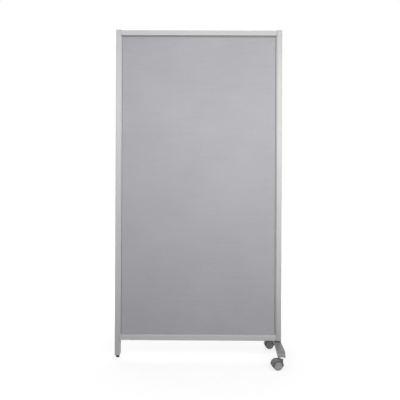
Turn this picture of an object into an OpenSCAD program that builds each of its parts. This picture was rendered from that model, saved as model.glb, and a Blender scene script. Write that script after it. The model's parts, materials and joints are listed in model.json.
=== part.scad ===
// Rolling partition: a fabric screen in a hollow-profile frame, with a levelling glide under the left
// post and an arched foot with two twin-wheel casters under the right post. Millimetres.
// The origin is on the floor under the middle, +Z is up and -Y is the front.

/* [Overall] */
// Width over the two posts
overall_w = 910; // [700:10:1200]
// Height from the floor to the top of the post caps
overall_h = 1800; // [1200:10:2100]
// Height of the frame's lower edge above the floor
frame_gap = 100; // [98:1:130]

/* [Frame profile] */
// Width of a post or rail seen from the front
face_w = 28; // [26:1:36]
// Depth of the frame from front to back
frame_d = 50; // [46:1:60]
// Wall thickness of the hollow profile
profile_wall = 1.6; // [1.2:0.1:2.2]
// Radius of the profile's long outer edges
profile_r = 3; // [2:0.5:4.5]
// How far a lip reaches from the profile over the panel's edge
lip_reach = 4; // [3:0.5:7]
// Thickness of a lip
lip_t = 2; // [1.5:0.1:3]

/* [Frame joints] */
// Length of the insert in each rail end
insert_l = 36; // [28:1:60]
// Thread diameter of a frame screw
screw_d = 6; // [4:0.5:7]
// Length of a frame screw below its head
screw_l = 22; // [14:1:26]
// Head diameter of a frame screw
screw_head_d = 10.5; // [9:0.5:11]
// Head height of a frame screw
screw_head_h = 3.5; // [2.5:0.1:4.5]
// Distance between the two screws of a corner
screw_pitch = 26; // [25:1:30]
// Diameter of the access hole in a post's outer wall
access_d = 12; // [11:0.5:13]
// Diameter of the flange on an access hole plug
plug_flange_d = 15; // [14.5:0.5:18]
// Thickness of the flange on an access hole plug
plug_flange_t = 1; // [0.8:0.1:1.6]
// Thickness of the plate of a post's top cap
cap_t = 3; // [2:0.5:6]
// Distance between a top cap's insert and the access holes below it
cap_screw_gap = 1; // [0.5:0.5:3]

/* [Panel] */
// Thickness of the wooden core
core_t = 18; // [16:1:20]
// Width of the core's wooden bars
core_bar_w = 30; // [24:1:50]
// Number of cross rails in the core
cross_rail_count = 3; // [1:1:6]
// Thickness of each facing board
board_t = 3; // [2:0.5:4]
// Thickness of the fabric
fabric_t = 1; // [0.8:0.1:1.4]
// Gap between the panel and the profiles at its sides and top
panel_gap = 0.4; // [0.2:0.1:0.8]
// Thickness of the gasket between a lip and the fabric
gasket_t = 1.2; // [0.8:0.1:2]
// Width of gasket that shows beyond the lip
gasket_show = 2.5; // [1.5:0.5:5]

/* [Levelling glide] */
// Diameter of the glide's pad
pad_d = 20; // [16:1:24]
// Height of the glide's pad
pad_h = 15; // [12:1:18]
// Radius of the pad's lower edge
pad_edge_r = 4; // [2:0.5:5]
// Diameter of the glide's threaded stem
glide_stem_d = 8; // [6:0.5:8]
// Length of the glide's threaded stem
glide_stem_l = 62; // [58:1:75]
// How far the glide screws down out of its post
glide_travel = 12; // [6:1:14]
// Visible height of the plug in the left post's lower end
foot_plug_h = 8; // [5:1:12]
// Depth to which that plug reaches into its post
foot_plug_insert_h = 28; // [20:1:30]
// Radius of that plug's lower edges
foot_plug_r = 4; // [2:0.5:4.5]
// Height of the nut in that plug
glide_nut_h = 6.5; // [5:0.5:8]
// Width of the nut across its flats
glide_nut_af = 13; // [13:0.5:15]

/* [Foot] */
// Distance of the foot's middle from the right post's outer face
foot_inset = 19.5; // [19:0.5:21]
// Thickness of the spacer between the right post and the foot
spacer_t = 5; // [3:0.5:8]
// Width of the foot and its spacer under the post
foot_w = 36; // [33:1:40]
// Width of the foot at its ends
foot_tip_w = 39; // [38:1:48]
// Distance from the post's middle to an end of the foot
foot_reach = 196; // [190:1:240]
// Radius of the foot's rounded ends, seen from the side
nose_r = 30; // [27:1:32]
// How far the foot's top falls on its way to an end
foot_fall = 2; // [0:0.5:3]
// Wall thickness of the foot
foot_wall = 2.8; // [2:0.1:4]
// Height of the foot's lower edge above the floor at its ends
foot_edge_z = 63; // [63:0.5:64]
// Height of the foot's lower edge above the floor in the middle
foot_arch_z = 78; // [76:0.5:80]
// Radius of the arched cut in the foot's ends
end_arch_r = 24; // [22:1:26]
// Height of that cut above the caster's collar
end_arch_rise = 3; // [1:0.5:5]
// Thread diameter of the foot bolt
bolt_d = 8; // [6:0.5:8]
// Length of the foot bolt below its head
bolt_l = 45; // [34:1:52]
// Head diameter of the foot bolt
bolt_head_d = 13; // [12.5:0.5:15]
// Head height of the foot bolt
bolt_head_h = 5; // [4:0.5:6]
// Diameter of the two pins that keep the foot from turning
dowel_d = 5; // [4:0.5:6]
// Distance between the two pins
dowel_pitch = 34; // [32:1:38]
// Depth of a pin in the foot and in the post's insert
dowel_depth = 6; // [4:0.5:6.5]
// Height of the insert in the right post's lower end
post_insert_h = 40; // [30:1:60]

/* [Casters] */
// Diameter of a caster wheel
wheel_d = 50; // [46:1:50]
// Width of a caster's hood
caster_w = 46; // [42:1:52]
// Distance from the swivel axis back to the axle
trail = 23; // [21:0.5:25]
// Distance from an end of the foot back to the swivel axis
swivel_setback = 18; // [17:1:24]
// Direction of the front caster: degrees from trailing straight to the left
front_turn = 13; // [-20:1:20]
// Direction of the rear caster: degrees from trailing straight to the left
rear_turn = 0; // [-20:1:20]
// Thickness of the tyre on a wheel
tyre_t = 4; // [2.5:0.5:5]
// Radius of the tyre's outer edges
tyre_edge_r = 2; // [1:0.25:2.25]
// Axle diameter
axle_d = 6; // [5:0.5:7]
// Thickness of the web between the two wheels
web_t = 7; // [6:0.5:8]
// Height of the hood's top above the floor
hood_top = 55.6; // [55:0.1:56]
// Width of the hood's crown
crown_w = 26; // [23:1:30]
// Wall thickness of the hood over the wheels
guard_t = 2.5; // [1.8:0.1:2.5]
// Thickness of the hood's sides where they reach over the tyres
skirt_t = 1.2; // [1:0.1:2]
// Radius of the round opening in each side, where the wheel's face shows
skirt_open_r = 20.2; // [18.5:0.1:21]
// Height of the hood's lower edge above the floor
guard_low = 21; // [19:1:25]
// Diameter of the boss round the swivel pin
swivel_boss_d = 16; // [15:0.5:18]
// Diameter of the swivel pin
pin_d = 7; // [6:0.5:8]
// Length of the swivel pin in the hood
pin_l = 11; // [9:0.5:11.5]
// Diameter of the bright collar on the stem
collar_d = 27; // [22:0.5:28]
// Height of the collar
collar_t = 10; // [9:0.5:11]
// Thread diameter of the stem
stem_d = 10; // [8:0.5:11]
// Length of the stem's thread
stem_l = 12; // [10:0.5:13]

/* [Clearances] */
// Radial clearance of a turning or sliding fit
run_gap = 0.05; // [0.02:0.01:0.1]
// Clearance round a piece that is pushed into a profile
push_gap = 0.1; // [0.05:0.05:0.2]
// Radial clearance round the shank of a screw or bolt
shank_gap = 0.3; // [0.2:0.1:0.5]
// Gap between faces that pass each other
pass_gap = 0.4; // [0.3:0.05:0.6]

/* [Hidden] */
$fn = 64;
eps = 0.01;
half_w = overall_w / 2;
rail_l = overall_w - 2 * face_w;
frame_top = overall_h - cap_t;
low_rail_top = frame_gap + face_w;
top_rail_low = frame_top - face_w;
inner_r = max(profile_r - profile_wall, 0.4);
cavity_w = face_w - 2 * profile_wall;
cavity_d = frame_d - 2 * profile_wall;
cap_insert_h = face_w / 2 - access_d / 2 - cap_screw_gap;
corner_z = [frame_gap + face_w / 2, frame_top - face_w / 2];

panel_half = core_t / 2 + board_t + fabric_t;
panel_w = rail_l - 2 * panel_gap;
panel_h = top_rail_low - low_rail_top - panel_gap;
lip_y = panel_half + gasket_t;
gasket_w = lip_reach + gasket_show;
strip_gap = 0.2;
hex_share = 0.66;
core_inner_w = panel_w - 2 * core_bar_w;
core_inner_h = panel_h - 2 * core_bar_w;

post_x = half_w - face_w / 2;
plug_low = pad_h + pass_gap;
left_post_low = plug_low + foot_plug_h;
socket_z = pad_h * 0.4;
nut_z = left_post_low + foot_plug_insert_h - glide_nut_h;

foot_x = half_w - foot_inset;
foot_top = frame_gap - spacer_t;
nose_y = foot_reach - nose_r;
caster_y = foot_reach - swivel_setback;
arch_rise = foot_arch_z - foot_edge_z;
arch_r = (nose_y * nose_y + arch_rise * arch_rise) / (2 * arch_rise);
foot_block_y = dowel_pitch / 2 + dowel_d / 2 + foot_wall;
foot_boss_wall = 6;
foot_boss_r = stem_d / 2 + foot_boss_wall;
stem_bore_spare = 1;

wheel_r = wheel_d / 2;
wheel_gap = 0.5;
wheel_in = web_t / 2 + wheel_gap;
skirt_gap = 0.4;
wheel_w = caster_w / 2 - skirt_t - skirt_gap - wheel_in;
hub_floor_t = 3;
axle_blind = wheel_w - hub_floor_t;
wheel_room = 1.2;
guard_r = wheel_r + wheel_room + guard_t;
collar_low = hood_top + pass_gap;
collar_top = collar_low + collar_t;

// Rectangle with round corners, centred
module rounded_rect(size, r) {
    square([size[0] - 2 * r, size[1]], center = true);
    square([size[0], size[1] - 2 * r], center = true);
    for (sx = [-1, 1], sy = [-1, 1])
        translate([sx * (size[0] / 2 - r), sy * (size[1] / 2 - r)]) circle(r = r);
}

// Section of the hollow frame profile, centred, with its face width along X
module tube_section() {
    difference() {
        rounded_rect([face_w, frame_d], profile_r);
        rounded_rect([cavity_w, cavity_d], inner_r);
    }
}

// Section of what is pushed into the profile's cavity, with the given clearance all round
module cavity_section(gap) {
    rounded_rect([cavity_w - 2 * gap, cavity_d - 2 * gap], inner_r);
}

// Children as drawn for the right side, or mirrored to the left side
module on_side(side) {
    if (side > 0) children();
    else mirror([1, 0, 0]) children();
}

// A section drawn for a standing post, laid along X over the given length; its face width is vertical
module along_x(x0, length, z) {
    translate([x0, 0, z]) rotate([0, 90, 0]) linear_extrude(length) children();
}

// Cylinder from a point along +X
module rod_x(at, r, length) {
    translate(at) rotate([0, 90, 0]) cylinder(r = r, h = length);
}

// The screw positions of both corners of a post
module at_corner_screws() {
    for (z = corner_z, sy = [-1, 1]) translate([0, sy * screw_pitch / 2, z]) children();
}

// ---- frame ----

// Children at both lips of a profile, the front and the rear one, by the lip's lower Y face
module at_lips() {
    for (y = [-lip_y - lip_t, lip_y]) translate([0, y, 0]) children();
}

// A post's lips end where those of the rails begin
module post(side, z0) {
    wall_x = half_w - face_w;
    lip_low = low_rail_top + lip_reach;
    lip_high = top_rail_low - lip_reach;
    on_side(side) difference() {
        union() {
            translate([post_x, 0, z0]) linear_extrude(frame_top - z0) tube_section();
            at_lips() translate([wall_x - lip_reach, 0, lip_low])
                cube([lip_reach + profile_wall / 2, lip_t, lip_high - lip_low]);
        }
        at_corner_screws() {
            rod_x([wall_x - eps, 0, 0], screw_d / 2 + shank_gap, profile_wall + 2 * eps);
            rod_x([half_w - profile_wall - eps, 0, 0], access_d / 2, profile_wall + 2 * eps);
        }
    }
}

// A rail lies between the posts; its lips point up on the bottom rail and down on the top rail
module rail(z0, lips_up) {
    lip_z = lips_up ? z0 + face_w - profile_wall / 2 : z0 - lip_reach;
    along_x(-rail_l / 2, rail_l, z0 + face_w / 2) tube_section();
    at_lips() translate([-rail_l / 2, 0, lip_z]) cube([rail_l, lip_t, lip_reach + profile_wall / 2]);
}

module left_post() { color([0.80, 0.80, 0.80]) post(-1, left_post_low); }

module right_post() { color([0.80, 0.80, 0.80]) post(1, frame_gap); }

module top_rail() { color([0.82, 0.82, 0.83]) rail(top_rail_low, false); }

module bottom_rail() { color([0.74, 0.74, 0.73]) rail(frame_gap, true); }

module top_cap(side) {
    bevel = min(0.8, cap_t / 3);
    skirt_wall = 2;
    color([0.70, 0.70, 0.70]) on_side(side) translate([post_x, 0, frame_top]) {
        linear_extrude(cap_t - bevel) rounded_rect([face_w, frame_d], profile_r);
        translate([0, 0, cap_t - bevel]) linear_extrude(bevel)
            rounded_rect([face_w - 2 * bevel, frame_d - 2 * bevel], profile_r - bevel);
        translate([0, 0, -cap_insert_h]) linear_extrude(cap_insert_h + eps) difference() {
            cavity_section(push_gap);
            cavity_section(push_gap + skirt_wall);
        }
    }
}

// The insert in a rail end, with a threaded hole for each screw and a pocket between them
module corner_insert(side, z) {
    pocket_wall = 3;
    end_wall = 8;
    pocket_w = screw_pitch - screw_d - 2 * pocket_wall;
    color([0.66, 0.67, 0.68]) on_side(side) translate([rail_l / 2 - insert_l, 0, z]) difference() {
        along_x(0, insert_l, 0) cavity_section(push_gap);
        for (sy = [-1, 1])
            rod_x([-eps, sy * screw_pitch / 2, 0], screw_d / 2 + run_gap, insert_l + 2 * eps);
        translate([-eps, -pocket_w / 2, -cavity_w / 4])
            cube([insert_l - end_wall, pocket_w, cavity_w / 2]);
    }
}

// Six-sided hole or nut blank, by its width across the flats
module hex_prism(across_flats, h) {
    cylinder(d = across_flats / cos(30), h = h, $fn = 6);
}

// A screw with its head on +Z; the face under the head is at Z = 0
module socket_screw(head_d, head_h, shank_d, shank_l) {
    socket_h = head_h * 0.6;
    difference() {
        union() {
            cylinder(d = head_d, h = head_h);
            translate([0, 0, -shank_l]) cylinder(d = shank_d, h = shank_l + eps);
        }
        translate([0, 0, head_h - socket_h]) hex_prism(shank_d * hex_share, socket_h + eps);
    }
}

module frame_screws() {
    color([0.72, 0.72, 0.74]) for (side = [-1, 1]) on_side(side)
        translate([half_w - face_w + profile_wall, 0, 0]) at_corner_screws() rotate([0, 90, 0])
            socket_screw(screw_head_d, screw_head_h, screw_d, screw_l);
}

module access_plugs() {
    barb_l = 1.5;
    body_l = profile_wall + barb_l;
    color([0.62, 0.62, 0.62]) for (side = [-1, 1]) on_side(side) at_corner_screws() {
        rod_x([half_w, 0, 0], plug_flange_d / 2, plug_flange_t);
        rod_x([half_w - body_l, 0, 0], access_d / 2 - run_gap, body_l + eps);
    }
}

// ---- panel ----

// A flat piece of the panel, placed by its left end, its height and its distance behind the middle
module panel_piece(x0, y0, z0, size) {
    translate([x0, y0, low_rail_top + z0]) cube(size);
}

module fabric(side) {
    y0 = side > 0 ? panel_half - fabric_t : -panel_half;
    color([0.66, 0.66, 0.69]) panel_piece(-panel_w / 2, y0, 0, [panel_w, fabric_t, panel_h]);
}

module board(side) {
    y0 = side > 0 ? core_t / 2 : -core_t / 2 - board_t;
    color([0.55, 0.42, 0.28]) panel_piece(-panel_w / 2, y0, 0, [panel_w, board_t, panel_h]);
}

// Four gasket strips round one side of the panel, the upright ones between the other two
module gasket(side) {
    y0 = side > 0 ? panel_half : -panel_half - gasket_t;
    upright_z = gasket_w + strip_gap;
    color([0.30, 0.30, 0.32]) {
        for (z = [0, panel_h - gasket_w])
            panel_piece(-panel_w / 2, y0, z, [panel_w, gasket_t, gasket_w]);
        for (x = [-panel_w / 2, panel_w / 2 - gasket_w])
            panel_piece(x, y0, upright_z, [gasket_w, gasket_t, panel_h - 2 * upright_z]);
    }
}

module core_stile(x0) {
    color([0.78, 0.64, 0.44]) panel_piece(x0, -core_t / 2, 0, [core_bar_w, core_t, panel_h]);
}

module core_rail(z0) {
    color([0.78, 0.64, 0.44])
        panel_piece(-core_inner_w / 2, -core_t / 2, z0, [core_inner_w, core_t, core_bar_w]);
}

module front_fabric() { fabric(-1); }

module rear_fabric() { fabric(1); }

module front_board() { board(-1); }

module rear_board() { board(1); }

module front_gasket() { gasket(-1); }

module rear_gasket() { gasket(1); }

module core_left_stile() { core_stile(-panel_w / 2); }

module core_right_stile() { core_stile(panel_w / 2 - core_bar_w); }

module core_top_rail() { core_rail(panel_h - core_bar_w); }

module core_bottom_rail() { core_rail(0); }

module core_cross_rails() {
    step = (core_inner_h + core_bar_w) / (cross_rail_count + 1);
    for (i = [1 : cross_rail_count]) core_rail(i * step);
}

// ---- levelling glide ----

// The part of the plug that shows below the post, with its lower edges rounded; its foot is at Z = 0
module plug_body() {
    round_h = foot_plug_h + foot_plug_r;
    intersection() {
        linear_extrude(foot_plug_h) rounded_rect([face_w, frame_d], profile_r);
        translate([0, frame_d / 2, round_h / 2]) rotate([90, 0, 0]) linear_extrude(frame_d)
            rounded_rect([face_w, round_h], foot_plug_r);
        translate([-face_w / 2, 0, round_h / 2]) rotate([90, 0, 90]) linear_extrude(face_w)
            rounded_rect([frame_d, round_h], foot_plug_r);
    }
}

module left_post_plug() {
    full_h = foot_plug_h + foot_plug_insert_h;
    bore_d = glide_stem_d + 2 * shank_gap;
    color([0.72, 0.72, 0.72]) translate([-post_x, 0, 0]) difference() {
        union() {
            translate([0, 0, plug_low]) plug_body();
            translate([0, 0, left_post_low - eps]) linear_extrude(foot_plug_insert_h + eps)
                cavity_section(push_gap);
        }
        translate([0, 0, plug_low - eps]) cylinder(d = bore_d, h = full_h + 2 * eps);
        translate([0, 0, nut_z]) hex_prism(glide_nut_af + 2 * push_gap, glide_nut_h + eps);
    }
}

module glide_nut() {
    color([0.70, 0.70, 0.72]) translate([-post_x, 0, nut_z]) difference() {
        hex_prism(glide_nut_af, glide_nut_h);
        translate([0, 0, -eps]) cylinder(d = glide_stem_d + 2 * run_gap, h = glide_nut_h + 2 * eps);
    }
}

module glide_stem() {
    color([0.72, 0.72, 0.74]) translate([-post_x, 0, socket_z + pass_gap])
        cylinder(d = glide_stem_d, h = glide_stem_l);
}

module glide_pad() {
    color([0.10, 0.10, 0.10]) translate([-post_x, 0, 0]) difference() {
        rotate_extrude() {
            square([pad_d / 2 - pad_edge_r, pad_h]);
            translate([0, pad_edge_r]) square([pad_d / 2, pad_h - pad_edge_r]);
            translate([pad_d / 2 - pad_edge_r, pad_edge_r]) circle(r = pad_edge_r);
        }
        translate([0, 0, socket_z]) cylinder(d = glide_stem_d + 2 * run_gap, h = pad_h);
    }
}

// ---- foot ----

// The foot's middle, and the places of the two pins beside it
module at_foot() {
    translate([foot_x, 0, 0]) children();
}

module at_dowels() {
    for (sy = [-1, 1]) translate([foot_x, sy * dowel_pitch / 2, foot_top - dowel_depth]) children();
}

module dowel(gap) {
    cylinder(d = dowel_d + 2 * gap, h = spacer_t + 2 * dowel_depth);
}

// The insert leaves room for the corner screws that cross it
module right_post_insert() {
    cross_r = access_d / 2 + push_gap;
    color([0.66, 0.67, 0.68]) difference() {
        translate([post_x, 0, frame_gap]) linear_extrude(post_insert_h) cavity_section(push_gap);
        at_foot() translate([0, 0, frame_gap - eps])
            cylinder(d = bolt_d + 2 * run_gap, h = post_insert_h + 2 * eps);
        at_dowels() dowel(run_gap);
        for (sy = [-1, 1])
            rod_x([half_w - face_w, sy * screw_pitch / 2, corner_z[0]], cross_r, face_w);
    }
}

module foot_spacer() {
    color([0.08, 0.08, 0.08]) difference() {
        translate([foot_x, 0, foot_top]) linear_extrude(spacer_t)
            rounded_rect([foot_w, frame_d], profile_r);
        at_foot() translate([0, 0, foot_top - eps])
            cylinder(d = bolt_d + 2 * shank_gap, h = spacer_t + 2 * eps);
        at_dowels() dowel(run_gap);
    }
}

module foot_bolt() {
    color([0.60, 0.60, 0.62]) at_foot() translate([0, 0, foot_arch_z + bolt_head_h]) rotate([180, 0, 0])
        socket_screw(bolt_head_d, bolt_head_h, bolt_d, bolt_l);
}

module foot_dowels() {
    color([0.60, 0.60, 0.62]) at_dowels() dowel(0);
}

// Outer side view of one arm of the foot, or its hollow when inset by a wall; X runs out from the middle
module arm_side(inset) {
    nose_z = foot_top - foot_fall - nose_r;
    flat_y = frame_d / 2;
    intersection() {
        union() {
            polygon([[-eps, 0], [nose_y, 0], [nose_y, foot_top - foot_fall - inset],
                [flat_y, foot_top - inset], [-eps, foot_top - inset]]);
            translate([nose_y, nose_z]) circle(r = nose_r - inset, $fn = 128);
        }
        translate([-eps, foot_edge_z - (inset > 0 ? foot_wall : 0)]) square([foot_reach + eps, foot_top]);
    }
}

// One arm of the foot, pointing to -Y, as a block inset by a wall; the foot's middle is at X = 0
module arm_block(inset) {
    flat_y = frame_d / 2;
    intersection() {
        translate([foot_tip_w, 0, 0]) rotate([90, 0, -90]) linear_extrude(2 * foot_tip_w) arm_side(inset);
        linear_extrude(foot_top) polygon([
            [-foot_w / 2 + inset, eps], [foot_w / 2 - inset, eps],
            [foot_w / 2 - inset, -flat_y], [foot_tip_w / 2 - inset, -foot_reach],
            [-foot_tip_w / 2 + inset, -foot_reach], [-foot_w / 2 + inset, -flat_y]]);
    }
}

// The two arms and the block between them, with the arch below and the arched cuts in the ends
module foot_shell() {
    difference() {
        union() {
            for (turn = [0, 180]) rotate([0, 0, turn]) difference() {
                arm_block(0);
                arm_block(foot_wall);
            }
            translate([-foot_w / 2 + eps, -foot_block_y, foot_arch_z])
                cube([foot_w - 2 * eps, 2 * foot_block_y, foot_top - foot_arch_z]);
        }
        translate([-foot_tip_w, 0, foot_arch_z - arch_r]) rotate([0, 90, 0])
            cylinder(r = arch_r, h = 2 * foot_tip_w, $fn = 256);
        for (y = [-foot_reach - eps, nose_y])
            translate([0, y, collar_top + end_arch_rise - end_arch_r]) rotate([-90, 0, 0])
                cylinder(r = end_arch_r, h = nose_r + eps);
    }
}

module caster_foot() {
    color([0.55, 0.55, 0.55]) at_foot() difference() {
        union() {
            foot_shell();
            for (turn = [0, 180]) rotate([0, 0, turn]) intersection() {
                arm_block(0);
                translate([0, -caster_y, collar_top]) cylinder(r = foot_boss_r, h = foot_top - collar_top);
            }
        }
        for (sy = [-1, 1]) {
            translate([0, sy * caster_y, collar_top - eps])
                cylinder(d = stem_d + 2 * run_gap, h = stem_l + stem_bore_spare);
            translate([0, sy * dowel_pitch / 2, foot_top - dowel_depth]) dowel(run_gap);
        }
        translate([0, 0, foot_arch_z - eps]) {
            cylinder(d = bolt_head_d + 2 * shank_gap, h = bolt_head_h + eps);
            cylinder(d = bolt_d + 2 * shank_gap, h = foot_top - foot_arch_z + 2 * eps);
        }
    }
}

// ---- casters ----

// Children are drawn with the swivel axis on Z and the wheels trailing to -X; side -1 is the front
module at_caster(side) {
    translate([foot_x, side * caster_y, 0]) rotate([0, 0, side < 0 ? front_turn : rear_turn]) children();
}

// Children are drawn round Z, which lies on the axle and points to +Y or -Y as the way says
module at_axle(way) {
    translate([-trail, 0, wheel_r]) rotate([-90 * way, 0, 0]) children();
}

// The same, from a wheel's inner face outwards
module at_wheel(way) {
    at_axle(way) translate([0, 0, wheel_in]) children();
}

module caster_stem(side) {
    color([0.86, 0.86, 0.88]) at_caster(side) {
        translate([0, 0, collar_top - eps]) cylinder(d = stem_d, h = stem_l + eps);
        translate([0, 0, collar_low]) cylinder(d = collar_d, h = collar_t);
        translate([0, 0, hood_top - pin_l]) cylinder(d = pin_d, h = pin_l + pass_gap + eps);
    }
}

// Side outline of the hood's crown: a flat top with a slope that meets the guard behind the wheels
module crown_outline() {
    slope = guard_r / sqrt(2);
    back_x = -trail - slope;
    back_z = wheel_r + slope;
    top_x = back_x + hood_top - back_z;
    front_x = swivel_boss_d * 0.35;
    front_z = wheel_r + slope / 2;
    polygon([[back_x, back_z], [top_x, hood_top], [front_x, hood_top], [front_x, front_z],
        [-trail, wheel_r]]);
}

// Crown, guard with its sides, swivel boss and axle boss, less the wheels' room on both sides
module caster_hood(side) {
    pin_floor = 2;
    axle_boss_wall = 5;
    boss_h = pin_l + pin_floor;
    color([0.25, 0.25, 0.27]) at_caster(side) difference() {
        union() {
            intersection() {
                at_axle(1) translate([0, 0, -caster_w / 2]) cylinder(r = guard_r, h = caster_w);
                translate([-2 * wheel_d, -caster_w, guard_low]) cube([4 * wheel_d, 2 * caster_w, wheel_d]);
            }
            translate([0, crown_w / 2, 0]) rotate([90, 0, 0]) linear_extrude(crown_w) crown_outline();
            translate([0, 0, hood_top - boss_h]) cylinder(d = swivel_boss_d, h = boss_h);
            at_axle(1) translate([0, 0, -web_t / 2]) cylinder(r = axle_d / 2 + axle_boss_wall, h = web_t);
        }
        for (way = [-1, 1]) at_axle(way) translate([0, 0, web_t / 2]) {
            cylinder(r = guard_r - guard_t, h = caster_w / 2 - skirt_t - web_t / 2);
            cylinder(r = skirt_open_r, h = caster_w);
        }
        translate([0, 0, hood_top - pin_l - pass_gap])
            cylinder(d = pin_d + 2 * run_gap, h = pin_l + pass_gap + eps);
        at_axle(1) translate([0, 0, -web_t]) cylinder(d = axle_d, h = 2 * web_t);
    }
}

module caster_axle(side) {
    half_l = wheel_in + axle_blind - pass_gap;
    color([0.72, 0.72, 0.74]) at_caster(side) at_axle(1) translate([0, 0, -half_l])
        cylinder(d = axle_d, h = 2 * half_l);
}

// A wheel with a blind bore, a hollow inner side and rings on its outer face
module caster_wheel(side, way) {
    hub_wall = 4;
    rim_wall = 2.5;
    rim_r = wheel_r - tyre_t;
    bore_r = axle_d / 2 + run_gap;
    hub_r = axle_d / 2 + hub_wall;
    face_in = rim_r - rim_wall;
    ring_out = rim_r * 0.68;
    ring_in = rim_r * 0.6;
    boss_r = rim_r * 0.2;
    web_in = wheel_w * 0.6;
    sunk = wheel_w - 1.4;
    ring_top = wheel_w - 0.6;
    color([0.72, 0.72, 0.72]) at_caster(side) at_wheel(way) rotate_extrude() polygon([
        [bore_r, 0], [hub_r, 0], [hub_r, web_in], [face_in, web_in], [face_in, 0], [rim_r, 0],
        [rim_r, wheel_w], [face_in, wheel_w], [face_in, sunk], [ring_out, sunk], [ring_out, ring_top],
        [ring_in, ring_top], [ring_in, sunk], [boss_r, sunk], [boss_r, wheel_w], [0, wheel_w],
        [0, axle_blind], [bore_r, axle_blind]]);
}

module caster_tyre(side, way) {
    seat_r = wheel_r - tyre_t;
    color([0.80, 0.80, 0.79]) at_caster(side) at_wheel(way) rotate_extrude() {
        translate([seat_r, 0]) square([tyre_t - tyre_edge_r, wheel_w]);
        translate([seat_r, tyre_edge_r]) square([tyre_t, wheel_w - 2 * tyre_edge_r]);
        for (y = [tyre_edge_r, wheel_w - tyre_edge_r]) intersection() {
            translate([wheel_r - tyre_edge_r, y]) circle(r = tyre_edge_r);
            translate([seat_r, 0]) square([tyre_t, wheel_w]);
        }
    }
}

left_post();
right_post();
top_rail();
bottom_rail();
top_cap(-1);  // left_top_cap
top_cap(1);  // right_top_cap
corner_insert(-1, corner_z[1]);  // corner_insert_top_left
corner_insert(1, corner_z[1]);  // corner_insert_top_right
corner_insert(-1, corner_z[0]);  // corner_insert_bottom_left
corner_insert(1, corner_z[0]);  // corner_insert_bottom_right
frame_screws();
access_plugs();
front_fabric();
rear_fabric();
front_board();
rear_board();
front_gasket();
rear_gasket();
core_left_stile();
core_right_stile();
core_top_rail();
core_bottom_rail();
core_cross_rails();
left_post_plug();
glide_nut();
glide_stem();
glide_pad();
right_post_insert();
foot_spacer();
caster_foot();
foot_bolt();
foot_dowels();
caster_stem(-1);  // front_caster_stem
caster_hood(-1);  // front_caster_hood
caster_axle(-1);  // front_caster_axle
caster_wheel(-1, -1);  // front_caster_outer_wheel
caster_tyre(-1, -1);  // front_caster_outer_tyre
caster_wheel(-1, 1);  // front_caster_inner_wheel
caster_tyre(-1, 1);  // front_caster_inner_tyre
caster_stem(1);  // rear_caster_stem
caster_hood(1);  // rear_caster_hood
caster_axle(1);  // rear_caster_axle
caster_wheel(1, 1);  // rear_caster_outer_wheel
caster_tyre(1, 1);  // rear_caster_outer_tyre
caster_wheel(1, -1);  // rear_caster_inner_wheel
caster_tyre(1, -1);  // rear_caster_inner_tyre
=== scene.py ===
"""Rolling partition: the dressed scene.

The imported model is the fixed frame. Pieces that show are rebuilt here with softened edges and
finer forms, every piece gets its finish, and a plain studio with the photograph's camera stands
round them.
Lengths are in metres in the row frame: +Z up, +X towards the caster foot, -Y towards the camera.
"""

import json
import logging
import math
from dataclasses import dataclass
from enum import Enum
from typing import Any, Callable, Mapping, Sequence

import bmesh
import bpy
from mathutils import Matrix, Vector


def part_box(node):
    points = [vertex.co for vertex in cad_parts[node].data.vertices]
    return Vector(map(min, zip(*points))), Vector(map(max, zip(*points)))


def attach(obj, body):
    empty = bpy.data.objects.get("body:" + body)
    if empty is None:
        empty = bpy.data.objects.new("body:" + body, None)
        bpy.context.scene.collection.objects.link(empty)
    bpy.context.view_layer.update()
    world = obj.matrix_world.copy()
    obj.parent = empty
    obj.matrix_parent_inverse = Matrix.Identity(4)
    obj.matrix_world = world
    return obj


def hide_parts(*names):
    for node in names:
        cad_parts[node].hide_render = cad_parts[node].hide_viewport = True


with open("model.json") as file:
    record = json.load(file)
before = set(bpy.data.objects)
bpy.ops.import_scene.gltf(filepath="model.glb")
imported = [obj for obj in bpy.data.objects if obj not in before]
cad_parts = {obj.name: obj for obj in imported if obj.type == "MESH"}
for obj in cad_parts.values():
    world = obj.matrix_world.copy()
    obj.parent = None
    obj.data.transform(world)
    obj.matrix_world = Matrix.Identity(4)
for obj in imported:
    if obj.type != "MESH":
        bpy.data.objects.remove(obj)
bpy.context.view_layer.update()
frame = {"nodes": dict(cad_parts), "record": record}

LOG = logging.getLogger("partition")
MM = 0.001
PHOTO_PX = 400
SENSOR_MM = 36.0
LIP_REACH = 4.0 * MM
EDGE_LAYER = "softened_edge"
# Corners closer than this are one, and faces that bend less than this are one flat face
MERGE_WITHIN = 0.002 * MM
FLAT_WITHIN_DEGREES = 0.4
# How far large faces lead in a rounded piece's shading, of 100
FLAT_WEIGHT = 90
# Turn of every noise, so that its cells don't line up with the members
NOISE_TURN = (0.5, 0.3, 0.8)
# The middle of a noise's values: as patches with soft borders, and as an even variation
PATCH_RUN = (0.35, 0.65)
VARIED_RUN = (0.3, 0.7)

Pair = tuple[float, float]
Point = tuple[float, float, float]
Colour = tuple[float, float, float]
Material = bpy.types.Material
Shape = bmesh.types.BMesh
Socket = bpy.types.NodeSocket
Value = float | Colour | Socket

WHITE: Colour = (1.0, 1.0, 1.0)
# Pale tone for up-facing plastic: dust, and painted light on the hood's top.
DUST_AND_LIGHT: Colour = (0.52, 0.51, 0.49)
# Pale tone for the gasket's bottom strip: dust and painted light.
PALE_DUST_AND_LIGHT: Colour = (0.40, 0.40, 0.415)
PINE: Colour = (0.60, 0.44, 0.27)


class Grain(Enum):
    """Direction of a member's drawing marks, as the stretch of a noise along X, Y and Z."""

    UPRIGHT = (1.0, 1.0, 0.012)
    LENGTHWISE = (0.012, 1.0, 1.0)


class Face(Enum):
    """Front or rear of the screen, as the sign of Y."""

    FRONT = -1
    REAR = 1


class Roller(Enum):
    """A caster's wheel that looks away from the foot's middle, or towards it."""

    OUTER = 1
    INNER = -1


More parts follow.
